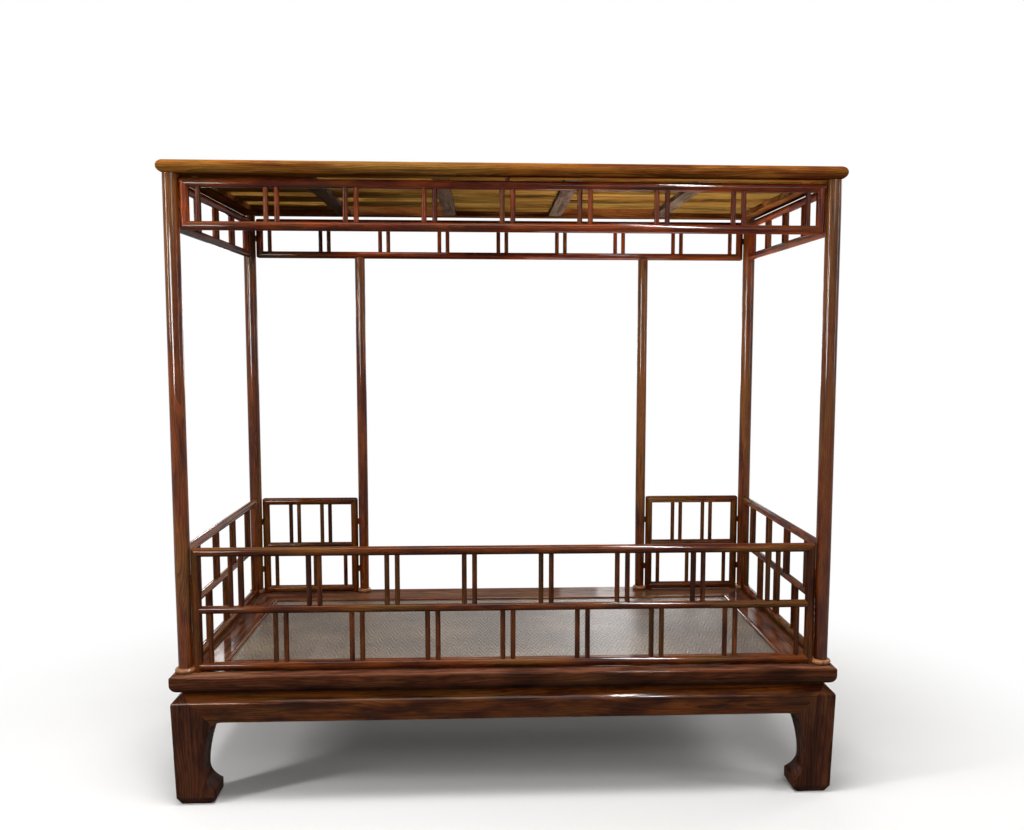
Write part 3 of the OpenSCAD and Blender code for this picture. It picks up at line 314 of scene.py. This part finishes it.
def memberLabels(mesh):
    # a number for each vertex that says to which solid of the node it belongs: each triangle passes the
    # lowest number among its corners to all three, until no number changes
    places = np.zeros(len(mesh.vertices) * 3)
    mesh.vertices.foreach_get("co", places)
    places = places.reshape(-1, 3)
    corners = np.zeros(len(mesh.loops), dtype=np.int64)
    mesh.loops.foreach_get("vertex_index", corners)
    rounded = np.round(places * 1e5).astype(np.int64)
    joined = np.unique(rounded, axis=0, return_inverse=True)[1].ravel()
    triangles = joined[corners].reshape(-1, 3)
    labels = np.arange(joined.max() + 1)
    while True:
        lowest = labels[triangles].min(axis=1)
        before = labels.copy()
        for corner in range(3):
            np.minimum.at(labels, triangles[:, corner], lowest)
        if (labels == before).all():
            return places, corners.reshape(-1, 3), labels[joined]


def dressNode(name, node, chance):
    # each solid gets its own stretch of grain, its own tone and the material that runs along its length
    kind = next(k for start, k in nodeKinds if name.startswith(start))
    mesh = node.data
    places, triangles, labels = memberLabels(mesh)
    shifts = np.zeros_like(places)
    tones = np.zeros(len(places))
    axisOf = np.zeros(len(places), dtype=np.int64)
    for label in sorted(set(labels), key=lambda n: tuple(places[labels == n].mean(axis=0).round(4))):
        own = labels == label
        size = places[own].max(axis=0) - places[own].min(axis=0)
        longest = 2 if name.endswith("_bases") else int(size.argmax())
        axisOf[own] = longest
        reach = memberChance["heart"]
        heart = places[own].mean(axis=0) + [chance.uniform(-reach, reach) for _ in range(3)]
        slide = np.zeros(3)
        slide[longest] = chance.uniform(-memberChance["along"], memberChance["along"])
        shifts[own] = slide - heart
        tones[own] = chance.random()
    mesh.attributes.new("memberShift", "FLOAT_VECTOR", "POINT").data.foreach_set("vector", shifts.ravel())
    mesh.attributes.new("memberTone", "FLOAT", "POINT").data.foreach_set("value", tones)
    # upward faces of the frame boards are marked for the painted top light and wear
    litWornFaces = [float(kind == "boardElm" and face.normal.z > upwards) for face in mesh.polygons]
    mesh.attributes.new("paintedTopLightAndWear", "FLOAT", "FACE").data.foreach_set("value", litWornFaces)
    mesh.materials.clear()
    for axis in "XYZ":
        if (kind, axis) not in woodMaterials:
            woodMaterials[kind, axis] = woodMaterial(kind, axis)
        mesh.materials.append(woodMaterials[kind, axis])
    mesh.polygons.foreach_set("material_index", axisOf[triangles[:, 0]])
    mesh.update()


chance = random.Random(17)
for name in sorted(nodes):
    if name not in otherPieces:
        dressNode(name, nodes[name], chance)
print("wood dressed")


def finishPiece(bm, name, material, standsFor, smooth=False):
    bmesh.ops.remove_doubles(bm, verts=bm.verts, dist=1e-6)
    bmesh.ops.recalc_face_normals(bm, faces=bm.faces)
    mesh = bpy.data.meshes.new(name)
    bm.to_mesh(mesh)
    bm.free()
    mesh.materials.append(material)
    for face in mesh.polygons:
        face.use_smooth = smooth
    piece = bpy.data.objects.new(name, mesh)
    bpy.context.scene.collection.objects.link(piece)
    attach(piece, "root")
    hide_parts(standsFor)
    return piece


# cane mat: split cane woven in a herringbone, beige gone grey, with a soft gloss on the skin of each strand

matLook = {
    "stepMm": 18.0,
    "rimMm": 13.2, "rimStepMm": 1.2, "pressMm": 0.9,   # the rim lies pressed down under the bead
    "sagMm": 0.8, "sagFromMm": 120,                    # settled between the stretchers, away from the rim
    "ground": "#6d5842", "pale": "#927a5e", "dark": "#20160f",
    "strandMm": 4.5,                                   # nearly twice the real width, so that the weave shows
    "turnStrands": 5.0, "slope": 3.2, "ribStrands": 9.0,
    "wobbleMm": 62.5, "wobbleByMm": (14, 30, 0),       # no row of strands runs quite straight
    "stainMm": 286, "toneMm": 14.3, "bumpMm": 1.4,
}
caneLayers = {
    "stain": {"rise": (0.35, 0.65), "tint": "pale", "strength": 1.0},
    "tones": {"rise": (0.45, 0.65), "tint": "dark", "strength": 0.3},
    "ribs": {"rise": (0.15, 0.35), "tint": "dark", "strength": 0.4},
    "gaps": {"rise": (0.38, 0.5), "tint": "dark", "strength": 0.4},
}


def offMiddle(tree, value):
    # how far a value lies from the middle of its unit, from 0 to 0.5
    part = addNode(tree, "Math", {0: value}, operation="FRACT")
    centred = addNode(tree, "Math", {0: part, 1: 0.5}, operation="SUBTRACT")
    return addNode(tree, "Math", {0: centred}, operation="ABSOLUTE")


def caneMaterial():
    look = matLook
    material, tree = newMaterial("splitCaneHerringbone")
    place = addNode(tree, "TexCoord", output="Object")
    wobble = addNode(tree, "TexNoise", {
        "Vector": place, "Scale": 1000 / look["wobbleMm"], "Detail": 2.0}, "Color")
    wobbleBy = [mm / 1000 for mm in look["wobbleByMm"]]
    eased = addNode(tree, "VectorMath", {0: wobble, 1: wobbleBy, 2: place}, operation="MULTIPLY_ADD")
    across, down = (addNode(tree, "Math", {
        0: addNode(tree, "SeparateXYZ", {0: eased}, side), 1: look["strandMm"] / 1000},
        operation="DIVIDE") for side in "XY")

    # ribs of the twill climb slope strands for each one across, and turn back every turnStrands
    folded = addNode(tree, "Math", {0: across, 1: look["turnStrands"]}, operation="PINGPONG")
    zigzag = addNode(tree, "Math", {0: folded, 1: look["slope"]}, operation="MULTIPLY")
    climb = addNode(tree, "Math", {0: zigzag, 1: down}, operation="ADD")
    repeats = addNode(tree, "Math", {0: climb, 1: look["ribStrands"]}, operation="DIVIDE")
    patterns = {
        "stain": addNode(tree, "TexNoise", {
            "Vector": place, "Scale": 1000 / look["stainMm"], "Detail": 4.0}),
        "tones": addNode(tree, "TexNoise", {
            "Vector": place, "Scale": 1000 / look["toneMm"], "Detail": 2.0}),
        "ribs": offMiddle(tree, repeats),
        "gaps": addNode(tree, "Math", {0: offMiddle(tree, across), 1: offMiddle(tree, down)},
                        operation="MAXIMUM"),
    }
    colour, masks = layColours(tree, look, caneLayers, patterns)
    relief = addNode(tree, "Math", {0: masks["ribs"], 1: masks["gaps"]}, operation="SUBTRACT")
    bump = addNode(tree, "Bump", {"Height": relief, "Strength": 1.0, "Distance": look["bumpMm"] / 1000})
    shader = addNode(tree, "BsdfPrincipled", {
        "Base Color": colour, "Roughness": 0.36, "IOR": 1.5, "Specular IOR Level": 0.2, "Normal": bump})
    addNode(tree, "OutputMaterial", {"Surface": shader})
    return material


def matLines(low, high):
    # where the mat's grid lines lie on one axis: its edge, the step beside the bead, then even steps
    rim = matLook["rimMm"] / 1000
    rimStep = matLook["rimStepMm"] / 1000
    inner = (low + rim, high - rim)
    count = round((inner[1] - inner[0]) * 1000 / matLook["stepMm"])
    even = [inner[0] + (inner[1] - inner[0]) * i / count for i in range(count + 1)]
    return [low, low + rim - rimStep] + even + [high - rim + rimStep, high]


def makeMat():
    # one sheet at the mat's upper face: a grid whose lines move to the mat's own, row by row, each point
    # then let down to its height
    low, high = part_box("cane_mat")
    columns = matLines(low.x, high.x)
    rows = matLines(low.y, high.y)
    bm = bmesh.new()
    grid = bmesh.ops.create_grid(bm, x_segments=len(columns) - 1, y_segments=len(rows) - 1, size=1)
    for number, vertex in enumerate(grid["verts"]):
        j, i = divmod(number, len(columns))
        x, y = columns[i], rows[j]
        isRim = i < 2 or j < 2 or i > len(columns) - 3 or j > len(rows) - 3
        edge = min(x - low.x, high.x - x, y - low.y, high.y - y)
        # deeper and shallower in slow waves, about 0.7 m long down the bed and 0.5 m across
        wave = 0.6 + 0.25 * math.sin(x * 9.1 + 2 * math.sin(y * 4)) + 0.15 * math.sin(y * 13 + x * 3)
        sag = matLook["sagMm"] * wave * min(1.0, edge * 1000 / matLook["sagFromMm"])
        drop = matLook["pressMm"] if isRim else sag
        vertex.co = (x, y, high.z - drop / 1000)
    return finishPiece(bm, "caneMat", caneMaterial(), "cane_mat", smooth=True)


matPiece = makeMat()
print("mat made")


# coir webbing: twisted palm-fibre cords laid across and along under the mat, brown, hairy and matt

webbing = {
    "cordMm": 1.9, "pitchMm": 16.0, "marginMm": 20, "endMm": 4, "sides": 6,
    "ground": "#6a4c2e", "pale": "#8a6a44", "dark": "#33231a",
    "hairMm": 1.11,                                    # about three times the real width, so that it shows
    "twistMm": 5.24, "twistStrength": 0.5, "bumpMm": 0.5,
}


def coirMaterial():
    material, tree = newMaterial("twistedCoir")
    place = addNode(tree, "TexCoord", output="Object")
    hairs = addNode(tree, "TexNoise", {"Vector": place, "Scale": 1000 / webbing["hairMm"], "Detail": 3.0})
    # at a scale of 1 the Wave Texture has 10 diagonal bands in 2 pi metres
    twistScale = 2 * math.pi / (10 * webbing["twistMm"] / 1000)
    twist = addNode(tree, "TexWave", {"Vector": place, "Scale": twistScale, "Distortion": 3.0},
                    "Fac", bands_direction="DIAGONAL")
    base = addNode(tree, "Mix", {0: hairs, 6: linear(webbing["ground"]), 7: linear(webbing["pale"])},
                   **colourMix)
    amount = addNode(tree, "Math", {0: twist, 1: webbing["twistStrength"]}, operation="MULTIPLY")
    twisted = addNode(tree, "Mix", {0: amount, 6: base, 7: linear(webbing["dark"])}, **colourMix)
    bump = addNode(tree, "Bump", {"Height": twist, "Strength": 0.7, "Distance": webbing["bumpMm"] / 1000})
    shader = addNode(tree, "BsdfPrincipled", {
        "Base Color": twisted, "Roughness": 0.9, "Specular IOR Level": 0.15, "Normal": bump})
    addNode(tree, "OutputMaterial", {"Surface": shader})
    return material


def makeWebbing():
    low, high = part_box("coir_webbing")
    middle = (low + high) / 2
    size = high - low
    bm = bmesh.new()
    radius = webbing["cordMm"] / 2000
    pitch = webbing["pitchMm"] / 1000
    for along, across, level in ((0, 1, middle.z - radius), (1, 0, middle.z + radius)):
        count = int((size[across] - webbing["marginMm"] / 1000) / pitch)
        turn = Matrix.Rotation(math.pi / 2, 4, "Y" if along == 0 else "X")
        for i in range(count + 1):
            cord = bmesh.ops.create_cone(
                bm, cap_ends=True, segments=webbing["sides"], radius1=radius, radius2=radius,
                depth=size[along] - webbing["endMm"] / 1000)["verts"]
            bmesh.ops.transform(bm, matrix=turn, verts=cord)
            spot = Vector((middle.x, middle.y, level))
            spot[across] += (i - count / 2) * pitch
            bmesh.ops.translate(bm, vec=spot, verts=cord)
    return finishPiece(bm, "coirWebbing", coirMaterial(), "coir_webbing")


webbingPiece = makeWebbing()
print("webbing made")


# stage: pale matt floor that takes the shadow, plain white behind and farther out, soft ambient light

stageLook = {"floor": "#f3f2f0", "bounce": "#4a4642", "ambient": 0.2, "whiteFrom": 1.2, "whiteTo": 2.4,
             "halfSize": 14.0, "belowMm": 0.5}
plainWhite = {"Color": (1, 1, 1, 1), "Strength": 1.0}


def seenRays(tree):
    # 1 for the rays that show the surroundings: the camera's, and those mirrored or passed on to it
    camera, glossy, passed = (addNode(tree, "LightPath", output=ray) for ray in (
        "Is Camera Ray", "Is Glossy Ray", "Is Transmission Ray"))
    mirrored = addNode(tree, "Math", {0: glossy, 1: passed}, operation="MAXIMUM")
    return addNode(tree, "Math", {0: camera, 1: mirrored}, operation="MAXIMUM")


def floorMaterial():
    # matt paper, without any gloss: pale where it is seen, while the light that it throws back at the bed is
    # held down to the bounce colour
    material, tree = newMaterial("paleMattFloor")
    seen = seenRays(tree)
    place = addNode(tree, "TexCoord", output="Object")
    away = addNode(tree, "VectorMath", {0: place}, "Value", operation="LENGTH")
    far = addNode(tree, "MapRange", {
        "Value": away, "From Min": stageLook["whiteFrom"], "From Max": stageLook["whiteTo"]},
        interpolation_type="SMOOTHSTEP")
    paint = addNode(tree, "Mix", {
        0: seen, 6: linear(stageLook["bounce"]), 7: linear(stageLook["floor"])}, **colourMix)
    matt = addNode(tree, "BsdfDiffuse", {"Color": paint})
    white = addNode(tree, "Emission", plainWhite)
    amount = addNode(tree, "Math", {0: seen, 1: far}, operation="MULTIPLY")
    surface = addNode(tree, "MixShader", {0: amount, 1: matt, 2: white})
    addNode(tree, "OutputMaterial", {"Surface": surface})
    return material


def makeFloor():
    bm = bmesh.new()
    bmesh.ops.create_grid(bm, x_segments=1, y_segments=1, size=stageLook["halfSize"],
                          matrix=Matrix.Translation((0, 0, -stageLook["belowMm"] / 1000)))
    mesh = bpy.data.meshes.new("paleFloor")
    bm.to_mesh(mesh)
    bm.free()
    mesh.materials.append(floorMaterial())
    floor = bpy.data.objects.new("paleFloor", mesh)
    bpy.context.scene.collection.objects.link(floor)


makeFloor()

world = bpy.data.worlds.new("softStudio")
world.use_nodes = True
worldTree = world.node_tree
worldTree.nodes.clear()
ambient = addNode(worldTree, "Background", {"Color": (1, 1, 1, 1), "Strength": stageLook["ambient"]})
shown = addNode(worldTree, "Background", plainWhite)
worldMix = addNode(worldTree, "MixShader", {0: seenRays(worldTree), 1: ambient, 2: shown})
addNode(worldTree, "OutputWorld", {"Surface": worldMix})
bpy.context.scene.world = world

# lamps: windows and softboxes light the bed, and those marked glint are seen by glossy rays alone, so they
# draw the lacquer's highlights and light nothing. matBounce is what the mat throws up at the roof: it aims
# straight up, because a tilt would swap its two sides
softLamps = {
    "leftWindow": {"place": (-3.3, -1.9, 2.0), "aim": (-0.3, -0.4, 1.3), "size": (0.2, 1.1), "watts": 52},
    "leftGlint": {"place": (-1.67, -2.43, 1.62), "aim": (-1.0, -0.47, 1.6), "size": (0.6, 0.75),
                  "watts": 76, "glint": True},
    "skySoftbox": {"place": (-0.6, -1.1, 4.6), "aim": (-0.2, -0.3, 0.4), "size": (2.6, 1.4), "watts": 145},
    "frontFill": {"place": (1.3, -4.6, 2.9), "aim": (0.3, -0.3, 1.1), "size": (1.8, 1.2), "watts": 48},
    "ceilingGlint": {"place": (0.95, -1.9, 3.4), "aim": (0.7, -0.6, 0.4), "size": (0.15, 2.4),
                     "watts": 300, "glint": True},
    "rightWindow": {"place": (3.4, -1.4, 1.8), "aim": (0.5, -0.3, 1.4), "size": (0.15, 1.1), "watts": 15},
    "rightSoftbox": {"place": (4.2, 1.4, 3.0), "aim": (0, 0.2, 0.9), "size": (1.2, 1.2), "watts": 32},
    "backSoftbox": {"place": (0.6, 4.4, 3.6), "aim": (0, 0.3, 0.9), "size": (1.8, 1.2), "watts": 60},
    "backWindowRight": {"place": (0.85, 3.4, 1.5), "aim": (0.4, 0, 0.5), "size": (0.25, 0.8), "watts": 9},
    "backGlow": {"place": (1.15, 3.41, 1.4), "aim": (0.5, 0, 0.5), "size": (1.4, 0.5), "watts": 16},
    "backWindowLeft": {"place": (-1.95, 3.4, 1.66), "aim": (-0.93, 0, 0.4), "size": (0.14, 0.22),
                       "watts": 4},
    "matBounce": {"place": (0.56, 0.05, 0.45), "aim": (0.56, 0.05, 2.0), "size": (0.8, 0.7), "watts": 9,
                  "spreadDeg": 70},
}
for name, lamp in softLamps.items():
    data = bpy.data.lights.new(name, "AREA")
    data.shape = "RECTANGLE"
    data.size, data.size_y = lamp["size"]
    data.energy = lamp["watts"]
    data.spread = math.radians(lamp.get("spreadDeg", 180))
    lampObject = bpy.data.objects.new(name, data)
    lampObject.location = lamp["place"]
    aim = Vector(lamp["aim"]) - Vector(lamp["place"])
    lampObject.rotation_euler = aim.to_track_quat("-Z", "Y").to_euler()
    lampObject.visible_camera = False
    lampObject.visible_diffuse = not lamp.get("glint", False)
    bpy.context.scene.collection.objects.link(lampObject)
print("stage and lamps set")
